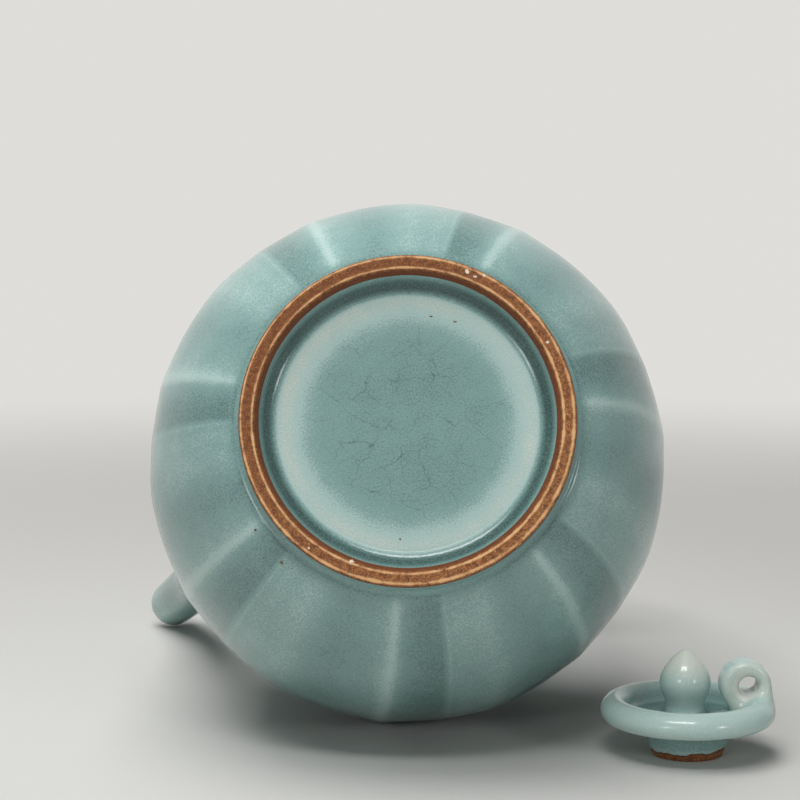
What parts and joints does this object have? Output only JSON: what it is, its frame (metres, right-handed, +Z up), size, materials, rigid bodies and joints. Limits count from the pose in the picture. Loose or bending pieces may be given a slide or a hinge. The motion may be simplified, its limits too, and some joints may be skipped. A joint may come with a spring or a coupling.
{
  "type": "gourd-shaped ewer with lid",
  "caption": "Celadon-glazed ewer in the form of a gourd, with spout, strap handle and a lifted-off lid, lying on its side; it holds and pours wine or water.",
  "frame": {"origin": "on the table, under the middle of the box round the lying ewer and the lid beside it", "axes": "+Z up from the table, -Y the way the ewer's foot faces, +X the side where the lid stands; the ewer's own axis lies in the YZ plane, 18.03 degrees off level, with its mouth end lower"},
  "size_m": [0.2038, 0.2642, 0.1616],
  "materials": {
    "celadon_glaze": "glossy grey-green celadon glaze, pooled darker in grooves and paler on ridges, finely crackled",
    "bare_clay": "unglazed stoneware clay, burnt reddish brown, matt"
  },
  "bodies": {
    "ewer": {"foot_ring": "bare_clay", "lower_bulb": "celadon_glaze", "upper_bulb": "celadon_glaze", "mouth_neck": "celadon_glaze", "spout": "celadon_glaze", "handle": "celadon_glaze", "handle_loop": "celadon_glaze"},
    "lid": {"lid_plug": "bare_clay", "lid_dish": "celadon_glaze", "lid_bud": "celadon_glaze", "lid_loop": "celadon_glaze"}
  },
  "joints": [
    {"name": "lid_lift", "type": "slide", "parent": "ewer", "child": "lid", "axis": [0.4501, -0.2501, 0.8572], "range_m": [0, 0.2]}
  ]
}
